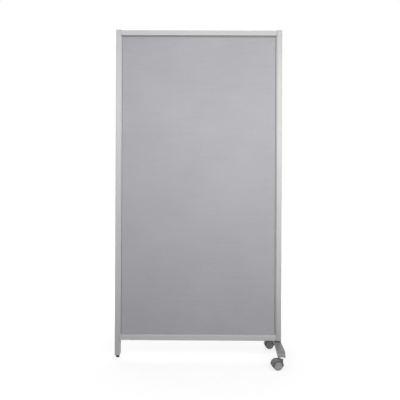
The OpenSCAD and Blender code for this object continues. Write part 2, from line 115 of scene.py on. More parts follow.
# How far each caster is turned about its stem at rest, in degrees
REST_TURNS = {Face.FRONT: 13.0, Face.REAR: 0.0}


# ---- materials ----


class Wiring:
    """A node tree while it is wired, with short ways to add nodes and join them."""

    def __init__(self, tree: bpy.types.NodeTree) -> None:
        """Start with the empty tree of a material or a world."""
        self.tree = tree
        self.tree.nodes.clear()

    def feed(self, socket: Socket, value: Value) -> None:
        """Join a socket to another one, or give it a plain value.

        Args:
            socket: the input.
            value: a number, a colour or an output.
        """
        if isinstance(value, bpy.types.NodeSocket):
            self.tree.links.new(value, socket)
        elif socket.type == "RGBA":
            socket.default_value = (*value, 1.0)
        else:
            socket.default_value = value

    def node(self, kind: str, inputs: Mapping[Any, Value], **settings: Any) -> bpy.types.Node:
        """Add a node.

        Args:
            kind: the node's type name.
            inputs: values or outputs by input name or index.
            **settings: the node's own properties.

        Returns:
            The node.
        """
        made = self.tree.nodes.new(kind)
        for name, value in settings.items():
            setattr(made, name, value)
        for key, value in inputs.items():
            self.feed(made.inputs[key], value)
        return made

    def span(self, value: Value, low: float, high: float, to_low: float, to_high: float) -> Socket:
        """Map a value from one range to another, held inside the second.

        Args:
            value: the value to map.
            low: lower end of the first range.
            high: upper end of the first range.
            to_low: result at the lower end.
            to_high: result at the upper end.

        Returns:
            The mapped value.
        """
        made = self.node("ShaderNodeMapRange", {
            "Value": value, "From Min": low, "From Max": high, "To Min": to_low, "To Max": to_high})
        return made.outputs["Result"]

    def math(self, operation: str, a: Value, b: Value = 0.0) -> Socket:
        """The unclamped result of an operation on one or two values."""
        return self.node("ShaderNodeMath", {0: a, 1: b}, operation=operation).outputs["Value"]

    def times(self, a: Value, b: Value) -> Socket:
        """The product of two values."""
        return self.math("MULTIPLY", a, b)

    def plus(self, a: Value, b: Value) -> Socket:
        """The sum of two values."""
        return self.math("ADD", a, b)

    def coordinate(self, kind: str) -> Socket:
        """The coordinates of one kind."""
        return self.node("ShaderNodeTexCoord", {}).outputs[kind]

    def seen_directly(self) -> Socket:
        """Tell the rays that show things from the rays that light them.

        Returns:
            1 for rays from the camera, a mirror or glass, 0 for the others.
        """
        path = self.node("ShaderNodeLightPath", {}).outputs
        mirrored = self.math("MAXIMUM", path["Is Glossy Ray"], path["Is Transmission Ray"])
        return self.math("MAXIMUM", path["Is Camera Ray"], mirrored)


def new_material(name: str) -> Material:
    """Add a material with a node tree.

    Args:
        name: the material's name.

    Returns:
        The material.
    """
    material = bpy.data.materials.new(name)
    material.use_nodes = True
    return material


class NodeBench(Wiring):
    """A material while it is wired, with one Principled shader to feed."""

    def __init__(self, name: str, colour: Colour) -> None:
        """Start a material.

        Args:
            name: the material's name.
            colour: the colour that its tones are made from.
        """
        self.material = new_material(name)
        super().__init__(self.material.node_tree)
        self.colour = colour
        self.shader = self.node("ShaderNodeBsdfPrincipled", {})
        self.node("ShaderNodeOutputMaterial", {"Surface": self.shader.outputs["BSDF"]})
        self.place = self.coordinate("Object")

    def shade(self, **values: Value) -> None:
        """Feed the shader's inputs; an underscore in a name stands for a space."""
        for name, value in values.items():
            self.feed(self.shader.inputs[name.replace("_", " ")], value)

    def noise(self, scale: float, detail: float = 2.0, rough: float = 0.5,
              stretch: Sequence[float] = (1.0, 1.0, 1.0)) -> Socket:
        """Noise over the piece.

        Args:
            scale: features per metre.
            detail: octaves.
            rough: how strong the finer octaves are.
            stretch: factor on the coordinates along X, Y and Z; under 1 draws the features out.

        Returns:
            The noise, around 0.5.
        """
        spot = self.node("ShaderNodeMapping", {
            "Vector": self.place, "Scale": stretch, "Rotation": NOISE_TURN})
        made = self.node("ShaderNodeTexNoise", {
            "Vector": spot.outputs["Vector"], "Scale": scale, "Detail": detail, "Roughness": rough})
        return made.outputs["Fac"]

    def blend(self, factor: Value, a: Value, b: Value) -> Socket:
        """Mix two colours, by a factor from 0 for the first to 1 for the second."""
        made = self.node("ShaderNodeMix", {0: factor, 6: a, 7: b}, data_type="RGBA")
        return made.outputs[2]

    def tone(self, factor: float) -> Colour:
        """The material's colour made lighter or darker, each part at most 1."""
        return tuple(min(1.0, part * factor) for part in self.colour)

    def patches(self, noise: Socket, most: float = 1.0, least: float = 0.0) -> Socket:
        """A noise as patches, from the least value between them to the most inside them."""
        return self.span(noise, *PATCH_RUN, least, most)

    def varied(self, noise: Socket, middle: float, under: float, over: float) -> Socket:
        """A value that a noise moves under and over its middle."""
        return self.span(noise, *VARIED_RUN, middle - under, middle + over)

    def bump(self, height: Value, depth: float, strength: float = 1.0) -> None:
        """Turn a height into the shader's normal.

        Args:
            height: the height, 0 to 1.
            depth: metres between height 0 and 1.
            strength: share of the effect.
        """
        made = self.node("ShaderNodeBump", {
            "Height": height, "Distance": depth, "Strength": strength})
        self.shade(Normal=made.outputs["Normal"])

    def along(self, axis: str) -> Socket:
        """The Object coordinate along one axis, in metres."""
        return self.node("ShaderNodeSeparateXYZ", {0: self.place}).outputs[axis]

    def edges(self) -> Socket:
        """1 on faces that the softening of an edge made, 0 elsewhere."""
        return self.node("ShaderNodeAttribute", {}, attribute_name=EDGE_LAYER).outputs["Fac"]

    def upward(self) -> Socket:
        """Find how far a surface faces up.

        Returns:
            0 where it is upright, steep or faces down, up to 1 where it is level.
        """
        normal = self.node("ShaderNodeNewGeometry", {}).outputs["Normal"]
        up = self.node("ShaderNodeSeparateXYZ", {0: normal}).outputs["Z"]
        return self.span(up, 0.2, 1.0, 0.0, 1.0)


@dataclass(frozen=True)
class SatinCoating:
    """Satin silver-grey coat on a drawn profile, with its drawing marks and scuffs near the floor.

    A rail's coat is darker along its ends at the joint with the post, and along its lip beside the
    fabric: painted shade. A post's coat darkens towards the floor: painted shade.
    """

    name: str
    grain: Grain
    colour: Colour = (0.58, 0.58, 0.577)
    roughness: float = 0.45
    metallic: float = 0.04
    texture_depth: float = 0.03 * MM
    scuffed_run: Pair = (0.03, 0.30)
    joint_at: float = 0.0
    joint_run: Pair = (1.3 * MM, 0.3 * MM)
    joint_shade_tone: float = 0.22
    lip: Pair = (0.0, 0.0)
    lip_shade_fade: Pair = (0.6 * MM, 0.2 * MM)
    lip_shade_tone: float = 1.0
    low_painted_shade: float = 0.0
    low_shade_run: Pair = (0.12, 0.42)
    low_shade_tone: float = 0.80

    def build(self) -> Material:
        """Wire the material.

        Returns:
            The material.
        """
        bench = NodeBench(self.name, self.colour)
        marks = bench.noise(1400.0, 3.0, 0.6, self.grain.value)
        cloud = bench.noise(5.0, 3.0, 0.55)
        peel = bench.noise(900.0, 2.0)
        specks = bench.noise(210.0, 5.0, 0.7, self.grain.value[::-1])
        low = bench.span(bench.along("Z"), *self.scuffed_run, 1.0, 0.12)
        scuff = bench.times(bench.span(specks, 0.63, 0.72, 0.0, 0.6), low)
        body = bench.blend(cloud, bench.tone(0.96), bench.tone(1.04))
        drawn = bench.blend(bench.patches(marks, 0.35), body, bench.tone(0.93))
        worn = bench.blend(scuff, drawn, bench.tone(0.72))
        coat = bench.blend(bench.times(bench.edges(), 0.35), worn, bench.tone(1.15))
        # Rails get painted shade at their joints with the posts and along their lip.
        if self.joint_at:
            coat = self.painted_rail_shade(bench, coat)
        # Painted shade that darkens the post towards the floor.
        if self.low_painted_shade:
            tone_shift_mask = bench.span(bench.along("Z"), *self.low_shade_run, self.low_painted_shade, 0.0)
            coat = bench.blend(tone_shift_mask, coat, bench.tone(self.low_shade_tone))
        rough = bench.varied(marks, self.roughness, 0.05, 0.07)
        bench.shade(Base_Color=coat, Metallic=self.metallic,
                    Roughness=bench.plus(rough, bench.times(scuff, 0.2)))
        bench.bump(bench.plus(marks, bench.times(peel, 0.6)), self.texture_depth)
        return bench.material

    def painted_rail_shade(self, bench: NodeBench, coat: Socket) -> Socket:
        """Paint shade on a rail's coat along its ends and its lip.

        Args:
            bench: the bench that the coat is wired on.
            coat: the coat's colour before its painted shade.

        Returns:
            The colour with its painted shade.
        """
        (shade_start, shade_full), (wide, narrow) = self.joint_run, self.lip_shade_fade
        # Painted shade within a little way of the rail's end, at its joint with the post.
        reach = bench.math("ABSOLUTE", bench.along("X"))
        joint_shade = bench.span(reach, self.joint_at - shade_start, self.joint_at - shade_full, 0.0, 0.85)
        coat = bench.blend(joint_shade, coat, bench.tone(self.joint_shade_tone))
        # Painted shade along the lip beside the fabric.
        level = bench.along("Z")
        low, high = self.lip
        above = bench.span(level, low - wide, low - narrow, 0.0, 1.0)
        below = bench.span(level, high + narrow, high + wide, 1.0, 0.0)
        return bench.blend(bench.times(above, below), coat, bench.tone(self.lip_shade_tone))


@dataclass(frozen=True)
class PanelWeave:
    """Plain weave of heathered grey yarn, its weft a little uneven, stretched flat."""

    name: str
    colour: Colour = (0.49, 0.485, 0.516)
    yarn: float = 1.5 * MM
    weave_depth: float = 0.22 * MM
    roughness: float = 0.92

    def build(self) -> Material:
        """Wire the material.

        Returns:
            The material.
        """
        bench = NodeBench(self.name, self.colour)
        turn = math.pi / self.yarn
        warp = bench.math("SINE", bench.times(bench.along("X"), turn))
        weft = bench.math("SINE", bench.times(bench.along("Z"), turn))
        over = bench.times(warp, weft)
        ridge = bench.math("MAXIMUM", bench.math("ABSOLUTE", warp), bench.math("ABSOLUTE", weft))
        fibre = bench.noise(3600.0, 3.0, 0.65)
        slub = bench.noise(1.0, 3.0, 0.6, (7.0, 1.0, 330.0))
        band = bench.noise(1.0, 2.0, 0.5, (2.2, 1.0, 60.0))
        heather = bench.noise(1.0, 4.0, 0.75, (180.0, 1.0, 300.0))
        cloud = bench.noise(3.6, 2.0)
        base = bench.blend(bench.span(heather, 0.32, 0.68, 0.0, 1.0),
                           bench.tone(0.83), bench.tone(1.16))
        rows = bench.blend(bench.patches(slub), bench.tone(0.94), bench.tone(1.06))
        yarns = bench.blend(0.5, base, rows)
        broad = bench.blend(bench.patches(band, 0.12), yarns, bench.tone(0.88))
        # Broad patches a little lighter, from a noise.
        lighter_patch_mask = bench.span(cloud, 0.36, 0.64, 0.0, 0.24)
        patch_lightened = bench.blend(lighter_patch_mask, broad, bench.tone(1.18))
        on_top = bench.span(over, -0.25, 0.25, 0.0, 0.16)
        crossed = bench.blend(on_top, patch_lightened, bench.tone(0.62))
        # Darker in the spaces between yarns: painted shade.
        yarn_gap_shade = bench.span(ridge, 0.45, 0.9, 0.30, 0.0)
        bench.shade(Base_Color=bench.blend(yarn_gap_shade, crossed, bench.tone(0.45)),
                    Roughness=self.roughness, Sheen_Weight=0.25, Sheen_Roughness=0.5,
                    Specular_IOR_Level=0.25)
        height = bench.plus(bench.times(over, 0.35), bench.times(ridge, 0.65))
        lumpy = bench.plus(height, bench.times(slub, 0.4))
        bench.bump(bench.plus(lumpy, bench.times(fibre, 0.3)), self.weave_depth, 0.7)
        return bench.material


@dataclass(frozen=True)
class MouldedPlastic:
    """Textured moulded plastic, rubbed at the edges, paler facing up: dust and painted light."""

    name: str
    colour: Colour
    roughness: float = 0.45
    texture_depth: float = 0.03 * MM
    dust_and_light: float = 0.10
    rubbed: float = 1.5

    def build(self) -> Material:
        """Wire the material.

        Returns:
            The material.
        """
        bench = NodeBench(self.name, self.colour)
        pits = bench.noise(1900.0, 3.0, 0.6)
        cloud = bench.noise(38.0, 3.0, 0.6)
        wipes = bench.noise(160.0, 4.0, 0.7, (0.3, 1.0, 1.0))
        body = bench.blend(cloud, bench.tone(0.90), bench.tone(1.10))
        rubbed = bench.blend(bench.times(bench.edges(), 0.5), body, bench.tone(self.rubbed))
        # Up-facing patches turn pale: dust at a small share, and at a large share, as on the hood,
        # also painted light on the top.
        tone_shift_mask = bench.times(bench.upward(), bench.patches(cloud, 1.0, 0.3))
        dusted_and_lit = bench.blend(bench.times(tone_shift_mask, self.dust_and_light), rubbed, DUST_AND_LIGHT)
        bench.shade(Base_Color=dusted_and_lit, IOR=1.5,
                    Roughness=bench.varied(wipes, self.roughness, 0.06, 0.10))
        bench.bump(pits, self.texture_depth, 0.8)
        return bench.material


@dataclass(frozen=True)
class CastPaint:
    """Satin grey paint on a die casting: orange peel, small scuffs, and thin at the edges."""

    name: str
    colour: Colour = (0.21, 0.21, 0.215)
    roughness: float = 0.46
    peel_depth: float = 0.06 * MM

    def build(self) -> Material:
        """Wire the material.

        Returns:
            The material.
        """
        bench = NodeBench(self.name, self.colour)
        peel = bench.noise(420.0, 2.0, 0.5)
        cloud = bench.noise(14.0, 3.0, 0.6)
        specks = bench.noise(330.0, 6.0, 0.75, (1.0, 0.25, 1.0))
        scuff = bench.span(specks, 0.66, 0.74, 0.0, 0.55)
        body = bench.blend(cloud, bench.tone(0.93), bench.tone(1.07))
        marked = bench.blend(scuff, body, bench.tone(1.45))
        thin = bench.times(bench.edges(), bench.span(specks, 0.4, 0.6, 0.05, 0.35))
        bench.shade(Base_Color=bench.blend(thin, marked, bench.tone(1.3)), Metallic=0.15,
                    Roughness=bench.varied(cloud, self.roughness, 0.05, 0.08),
                    Coat_Weight=0.10, Coat_Roughness=0.25)
        bench.bump(peel, self.peel_depth, 0.7)
        return bench.material


@dataclass(frozen=True)
class BareMetal:
    """Bare or plated metal with fine marks; cast metal takes a coarser grain."""

    name: str
    colour: Colour
    roughness: float = 0.30
    marks_per_metre: float = 900.0
    depth: float = 0.02 * MM

    def build(self) -> Material:
        """Wire the material.

        Returns:
            The material.
        """
        bench = NodeBench(self.name, self.colour)
        marks = bench.noise(self.marks_per_metre, 4.0, 0.65)
        stain = bench.noise(70.0, 4.0, 0.6)
        body = bench.blend(bench.patches(stain), bench.tone(0.86), self.colour)
        bright = bench.blend(bench.times(bench.edges(), 0.5), body, bench.tone(1.2))
        bench.shade(Base_Color=bright, Metallic=1.0,
                    Roughness=bench.varied(marks, self.roughness, 0.06, 0.12))
        bench.bump(marks, self.depth, 0.8)
        return bench.material


@dataclass(frozen=True)
class SoftRubber:
    """Matt rubber with a fine skin; rolling pieces are greyed and marked by the floor."""

    name: str
    colour: Colour
    roughness: float = 0.75
    floor_marks: float = 0.0
    dust_and_light_below: float = 0.0
    dust_and_light_run: float = 4.0 * MM
    skin_depth: float = 0.04 * MM

    def build(self) -> Material:
        """Wire the material.

        Returns:
            The material.
        """
        bench = NodeBench(self.name, self.colour)
        skin = bench.noise(1500.0, 4.0, 0.65)
        patch = bench.noise(90.0, 4.0, 0.65)
        body = bench.blend(patch, bench.tone(0.88), bench.tone(1.12))
        # Below a height the rubber is paler: dust, and painted light on the bottom strip.
        if self.dust_and_light_below:
            dust_and_light = bench.span(bench.along("Z"), self.dust_and_light_below,
                              self.dust_and_light_below + self.dust_and_light_run, 0.8, 0.0)
            body = bench.blend(dust_and_light, body, PALE_DUST_AND_LIGHT)
        dirt = bench.times(bench.span(patch, 0.45, 0.7, 0.0, 1.0), self.floor_marks)
        bench.shade(Base_Color=bench.blend(dirt, body, bench.tone(0.5)),
                    Specular_IOR_Level=0.35,
                    Roughness=bench.varied(skin, self.roughness, 0.08, 0.08))
        bench.bump(skin, self.skin_depth, 0.8)
        return bench.material


@dataclass(frozen=True)
class Timber:
    """Planed softwood, or pressed board where the figure is short."""

    name: str
    colour: Colour
    figure: Grain = Grain.UPRIGHT
    rings_per_metre: float = 160.0
    contrast: float = 0.3
    pore_depth: float = 0.05 * MM

    def build(self) -> Material:
        """Wire the material.

        Returns:
            The material.
        """
        bench = NodeBench(self.name, self.colour)
        drawn_out = tuple(max(part, 0.05) for part in self.figure.value)
        rings = bench.noise(self.rings_per_metre, 4.0, 0.6, drawn_out)
        pores = bench.noise(2400.0, 2.0, 0.6, self.figure.value)
        body = bench.blend(bench.patches(rings), bench.tone(1.0 - self.contrast),
                           bench.tone(1.1))
        open_pores = bench.span(pores, 0.6, 0.75, 0.0, 0.5)
        bench.shade(Base_Color=bench.blend(open_pores, body, bench.tone(0.5)),
                    Roughness=bench.varied(rings, 0.70, 0.08, 0.08))
        bench.bump(pores, self.pore_depth, 0.8)
        return bench.material


class FinishShelf:
    """Every finish of the partition, built once: by the record's slot, and some by their node."""

    def __init__(self) -> None:
        """Build the finishes."""
        top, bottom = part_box("top_rail"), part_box("bottom_rail")
        coats = {
            # Painted shade darkens both posts towards the floor, the right one more.
            "left_post": SatinCoating("frame_coat_left_post", Grain.UPRIGHT, low_painted_shade=0.5),
            "right_post": SatinCoating("frame_coat_right_post", Grain.UPRIGHT, low_painted_shade=1.0),
            # The top rail's lip takes deep painted shade, the bottom rail's lip a little.
            "top_rail": SatinCoating("frame_coat_top_rail", Grain.LENGTHWISE, lip_shade_tone=0.50,
                                     joint_at=top[1].x,
                                     lip=(top[0].z, top[0].z + LIP_REACH + 1.5 * MM)),
            "bottom_rail": SatinCoating("frame_coat_bottom_rail", Grain.LENGTHWISE, lip_shade_tone=0.88,
                                        joint_at=bottom[1].x,
                                        lip=(bottom[1].z - LIP_REACH, bottom[1].z)),
        }
        self.by_node = {node: coat.build() for node, coat in coats.items()}
        self.by_node |= dict.fromkeys(("core_top_rail", "core_bottom_rail", "core_cross_rails"),
                                      Timber("core_wood_rail", PINE, Grain.LENGTHWISE).build())
        finishes = (
            MouldedPlastic("cap_plastic", (0.52, 0.52, 0.515), 0.42, rubbed=1.2),
            BareMetal("insert_casting", (0.60, 0.60, 0.61), 0.50, 420.0, 0.08 * MM),
            BareMetal("plated_steel", (0.62, 0.62, 0.63), 0.28),
            Timber("hardboard", (0.36, 0.24, 0.14), Grain.LENGTHWISE, 700.0, 0.2),
            # The gasket's bottom strip is paler: dust and painted light.
            SoftRubber("gasket_rubber", (0.215, 0.215, 0.225),
                       dust_and_light_below=bottom[1].z + LIP_REACH),
            Timber("core_wood", PINE),
            MouldedPlastic("black_plastic", (0.022, 0.022, 0.022), 0.50),
            CastPaint("foot_paint"),
            BareMetal("bright_zinc", (0.82, 0.82, 0.83), 0.20),
            BareMetal("axle_steel", (0.55, 0.55, 0.56), 0.30),
            # The hood's large share of pale on up-facing faces is painted light on its top as well as
            # dust.
            MouldedPlastic("hood_plastic", (0.105, 0.105, 0.11), 0.42, dust_and_light=0.55),
            MouldedPlastic("wheel_plastic", (0.41, 0.385, 0.38), 0.38, rubbed=1.15),
            SoftRubber("tyre_rubber", (0.20, 0.205, 0.19), 0.6, floor_marks=0.3),
        )
        self.by_slot = {finish.name: finish.build() for finish in finishes}
        self.by_slot["panel_fabric"] = PanelWeave("panel_weave").build()

    def finish(self, slot: str, node: str) -> Material:
        """The finish of a node: its own where it has one, or else its slot's."""
        return self.by_node.get(node) or self.by_slot[slot]


# ---- shaping ----


def round_edges(shape: Shape, edges: Sequence[bmesh.types.BMEdge], radius: float,
                segments: int) -> list[bmesh.types.BMFace]:
    """Bevel edges to an arc.

    Args:
        shape: the mesh.
        edges: its edges to round.
        radius: the bevel's width in metres.
        segments: facets across the arc.

    Returns:
        The new faces.
    """
    made = bmesh.ops.bevel(shape, geom=edges, offset=radius, offset_type="OFFSET",
                           segments=segments, profile=0.5, affect="EDGES", clamp_overlap=True,
                           material=-1)
    return made["faces"]


@dataclass(frozen=True)
class Softening:
    """How the sharp edges of a mesh are rounded."""

    radius: float
    segments: int = 3
    over_degrees: float = 28.0

    def apply(self, shape: Shape,
              chosen: Callable[[bmesh.types.BMEdge], bool] | None = None) -> None:
        """Round the edges and mark the new faces.

        Args:
            shape: the mesh, closed and with its doubles merged.
            chosen: tells which of the sharp edges to round; all of them without it.
        """
        layers = shape.faces.layers.float
        layer = layers.get(EDGE_LAYER) or layers.new(EDGE_LAYER)
        limit = math.radians(self.over_degrees)
        sharp = [e for e in shape.edges if e.is_manifold and e.calc_face_angle(0.0) > limit
                 and (chosen is None or chosen(e))]
        for face in round_edges(shape, sharp, self.radius, self.segments):
            face[layer] = 1.0


def middle_of(node: str) -> Vector:
    """The middle of a node's box, brought down to the floor."""
    low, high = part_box(node)
    return Vector(((low.x + high.x) / 2, (low.y + high.y) / 2, 0.0))


def as_mesh(shape: Shape, name: str) -> bpy.types.Mesh:
    """Write a shape to a mesh of its own.

    Args:
        shape: the shape; it is freed.
        name: the mesh's name.

    Returns:
        The mesh.
    """
    mesh = bpy.data.meshes.new(name)
    shape.to_mesh(mesh)
    shape.free()
    return mesh


def into_scene(name: str, data: bpy.types.ID) -> bpy.types.Object:
    """Put an object into the scene.

    Args:
        name: the object's name.
        data: its mesh, camera or light.

    Returns:
        The object.
    """
    made = bpy.data.objects.new(name, data)
    bpy.context.scene.collection.objects.link(made)
    return made


@dataclass(frozen=True)
class Label:
    """A finished piece's name, its slot, the node it stands for and the body it rides on."""

    name: str
    slot: str
    replaces: tuple[str]
    body: str = "root"


def hand_over(shape: Shape, label: Label, shelf: FinishShelf,
              smooth_degrees: float = 32.0, even: bool = False) -> bpy.types.Object:
    """Turn a mesh into a finished piece that rides on its body.

    Args:
        shape: the mesh, in place; it is freed.
        label: the piece's label.
        shelf: the shelf that has its finish.
        smooth_degrees: edges under this angle are shaded smooth.
        even: True where large flat faces keep their own normal beside rounded edges.

    Returns:
        The piece.
    """
    mesh = as_mesh(shape, label.name)
    mesh.polygons.foreach_set("use_smooth", [True] * len(mesh.polygons))
    mesh.set_sharp_from_angle(angle=math.radians(smooth_degrees))
    mesh.materials.append(shelf.finish(label.slot, *label.replaces))
    piece = into_scene(label.name, mesh)
    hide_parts(*label.replaces)
    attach(piece, label.body)
    if even:
        shading = piece.modifiers.new("even_shading", "WEIGHTED_NORMAL")
        shading.keep_sharp, shading.weight = True, FLAT_WEIGHT
    LOG.info("%s: %d faces, rides on %s", label.name, len(mesh.polygons), label.body)
    return piece


def merged_copy(node: str) -> Shape:
    """A node's shape as one closed mesh with flat faces joined.

    Args:
        node: the CAD node.

    Returns:
        The mesh; the node itself is left alone.
    """
    shape = bmesh.new()
    shape.from_mesh(frame["nodes"][node].data)
    bmesh.ops.remove_doubles(shape, verts=shape.verts, dist=MERGE_WITHIN)
    bmesh.ops.dissolve_limit(shape, angle_limit=math.radians(FLAT_WITHIN_DEGREES),
                             verts=shape.verts, edges=shape.edges)
    return shape


def softened(label: Label, shelf: FinishShelf, softening: Softening) -> None:
    """Rebuild a node with rounded edges.

    Args:
        label: the new piece's label, with the node whose form it keeps.
        shelf: the shelf that has its finish.
        softening: how its edges are rounded.
    """
    shape = merged_copy(*label.replaces)
    softening.apply(shape)
    hand_over(shape, label, shelf, even=True)


def turned(profile: Sequence[Pair], steps: int = 96, closed: bool = False,
           softening: Softening | None = None) -> Shape:
    """Turn a profile round Z.

    Args:
        profile: radius and height of each corner, in millimetres, from the lower pole upwards.
        steps: facets round the axis.
        closed: True where the profile is a loop that misses the axis.
        softening: how the turned edges are rounded.

    Returns:
        The closed mesh, in metres.
    """
    shape = bmesh.new()
    corners = [shape.verts.new((r * MM, 0.0, z * MM)) for r, z in profile]
    pairs = list(zip(corners, corners[1:])) + ([(corners[-1], corners[0])] if closed else [])
    line = [shape.edges.new(pair) for pair in pairs]
    bmesh.ops.spin(shape, geom=corners + line, cent=(0, 0, 0), axis=(0, 0, 1), angle=math.tau,
                   steps=steps, use_merge=True)
    bmesh.ops.remove_doubles(shape, verts=shape.verts, dist=0.0005 * MM)
    bmesh.ops.recalc_face_normals(shape, faces=shape.faces)
    if softening:
        softening.apply(shape)
    return shape


# ---- the screen's frame ----


@dataclass
class ScreenFrame:
    """Posts, rails, caps, access plugs and gasket strips."""

    shelf: FinishShelf
    deburr: Softening = Softening(0.35 * MM, 2)
    cap_edge: float = 0.9 * MM
    cap_corner: float = 3.0 * MM
    skirt_inset: float = 1.7 * MM
    skirt_corner: float = 1.4 * MM
    skirt_lap: float = 0.2 * MM
    plug_radius: float = 7.5
    plug_barb: float = 5.9
    plug_depth: float = 3.1
    plug_edge: Softening = Softening(0.12 * MM, 2)
    plug_reach: float = 13.0 * MM
    gasket_edge: Softening = Softening(0.45 * MM, 3)

    def build(self) -> None:
        """Build and dress the frame."""
        for node in ("left_post", "right_post", "top_rail", "bottom_rail"):
            softened(Label(f"{node}_profile", "frame_aluminium", (node,)), self.shelf, self.deburr)
        for node in ("left_top_cap", "right_top_cap"):
            self.top_cap(node)
        self.access_plugs()
        for node in ("front_gasket", "rear_gasket"):
            softened(Label(f"{node}_strips", "gasket_rubber", (node,)), self.shelf,
                     self.gasket_edge)

    def top_cap(self, node: str) -> None:
        """A post's cap: a plate with rounded corners and edges over a plain skirt.

        Args:
            node: the cap's node.
        """
        low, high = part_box(node)
        plate_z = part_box(node.replace("_top_cap", "_post"))[1].z
        skirt_top = plate_z + self.skirt_lap
        shape = bmesh.new()
        for bottom, top, inset, corner in ((plate_z, high.z, 0.0, self.cap_corner),
                                           (low.z, skirt_top, self.skirt_inset, self.skirt_corner)):
            made = bmesh.ops.create_cube(shape, size=1.0)["verts"]
            size = Vector((high.x - low.x - 2 * inset, high.y - low.y - 2 * inset, top - bottom))
            bmesh.ops.scale(shape, vec=size, verts=made)
            bmesh.ops.translate(shape, vec=middle_of(node) + Vector((0, 0, (bottom + top) / 2)),
                                verts=made)
            edges = {e for v in made for e in v.link_edges}
            upright = [e for e in edges if abs((e.verts[0].co - e.verts[1].co).z) > 0.5 * MM]
            round_edges(shape, upright, corner, 8)
        layer = shape.faces.layers.float.new(EDGE_LAYER)
        rim = [e for e in shape.edges if all(abs(v.co.z - high.z) < 0.01 * MM for v in e.verts)]
        for face in round_edges(shape, rim, self.cap_edge, 4):
            face[layer] = 1.0
        label = Label(f"{node}_moulding", "cap_plastic", (node,))
        hand_over(shape, label, self.shelf, even=True)

    def access_plugs(self) -> None:
        """The eight domed plugs in the posts' outer walls, as one piece like their node."""
        post_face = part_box("right_post")[1].x
        levels = [(box[0].z + box[1].z) / 2 for box in (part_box("bottom_rail"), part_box("top_rail"))]
        rise = (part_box("access_plugs")[1].x - post_face) / MM
        barb, rim = self.plug_barb, self.plug_radius
        dome = [(0.0, -self.plug_depth), (barb - 0.3, -self.plug_depth),
                (barb, 0.5 - self.plug_depth), (barb, 0.0), (rim, 0.0), (rim, 0.35),
                (6.2, rise * 0.80), (3.6, rise * 0.95), (0.0, rise)]
        all_plugs = bmesh.new()
        for side in (-1, 1):
            outward = Matrix.Rotation(side * math.pi / 2, 4, "Y")
            for z in levels:
                for y in (-self.plug_reach, self.plug_reach):
                    one = turned(dome, 40, softening=self.plug_edge)
                    lay = Matrix.Translation((side * post_face, y, z)) @ outward
                    bmesh.ops.transform(one, matrix=lay, verts=one.verts)
                    mesh = as_mesh(one, "plug")
                    all_plugs.from_mesh(mesh)
                    bpy.data.meshes.remove(mesh)
        hand_over(all_plugs, Label("access_plug_set", "cap_plastic", ("access_plugs",)),
                  self.shelf)


# ---- the panel ----


@dataclass
class PanelSkin:
    """One stretched sheet of fabric over its facing board."""

    shelf: FinishShelf
    face: Face
    columns: int = 110
    rows: int = 212
    flat_edge: float = 8.0 * MM
    swell: float = 0.55 * MM
    swell_run: float = 26 * MM
    ripple: float = 0.05 * MM
    ripple_run: Pair = (0.01, 0.05)
    ripple_waves: Pair = (61.0, 47.0)
    thickness: float = 1.0 * MM

    def build(self) -> None:
        """Build the sheet."""
        side = self.face.name.lower()
        node = f"{side}_fabric"
        low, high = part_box(node)
        width, height = high.x - low.x, high.z - low.z
        shape = bmesh.new()
        bmesh.ops.create_grid(shape, x_segments=self.columns, y_segments=self.rows, size=0.5)
        upright = Matrix.Rotation(math.pi / 2, 4, "X")
        size = Matrix.Diagonal((width, 1.0, height, 1.0))
        centre = Vector(((low.x + high.x) / 2, 0.0, (low.z + high.z) / 2))
        outer_y = high.y if self.face is Face.REAR else low.y
        bmesh.ops.transform(shape, matrix=Matrix.Translation(centre) @ size @ upright,
                            verts=shape.verts)
        for corner in shape.verts:
            corner.co.y = outer_y + self.face.value * self.rise(corner.co, low, high)
        bmesh.ops.recalc_face_normals(shape, faces=shape.faces)
        if sum(face.normal.y for face in shape.faces) * self.face.value < 0.0:
            bmesh.ops.reverse_faces(shape, faces=shape.faces)
        piece = hand_over(shape, Label(f"{side}_cloth", "panel_fabric", (node,)), self.shelf)
        thick = piece.modifiers.new("cloth_thickness", "SOLIDIFY")
        thick.thickness = self.thickness
        thick.offset = -1.0

    def rise(self, spot: Vector, low: Vector, high: Vector) -> float:
        """How far the cloth stands off its board at a place, beyond its own thickness.

        Args:
            spot: the place.
            low: the sheet's lowest corner.
            high: the sheet's highest corner.

        Returns:
            The rise in metres.
        """
        edge = min(spot.x - low.x, high.x - spot.x, spot.z - low.z, high.z - spot.z)
        inward = max(0.0, edge - self.flat_edge)
        swell = self.swell * (1.0 - math.exp(-inward / self.swell_run))
        (near, far), (across, upwards) = self.ripple_run, self.ripple_waves
        pull = math.exp(-inward / far) * (1.0 - math.exp(-inward / near))
        waves = math.sin(spot.x * across) * math.sin(spot.z * upwards + 1.0)
        return swell + self.ripple * pull * waves


# ---- the levelling glide ----


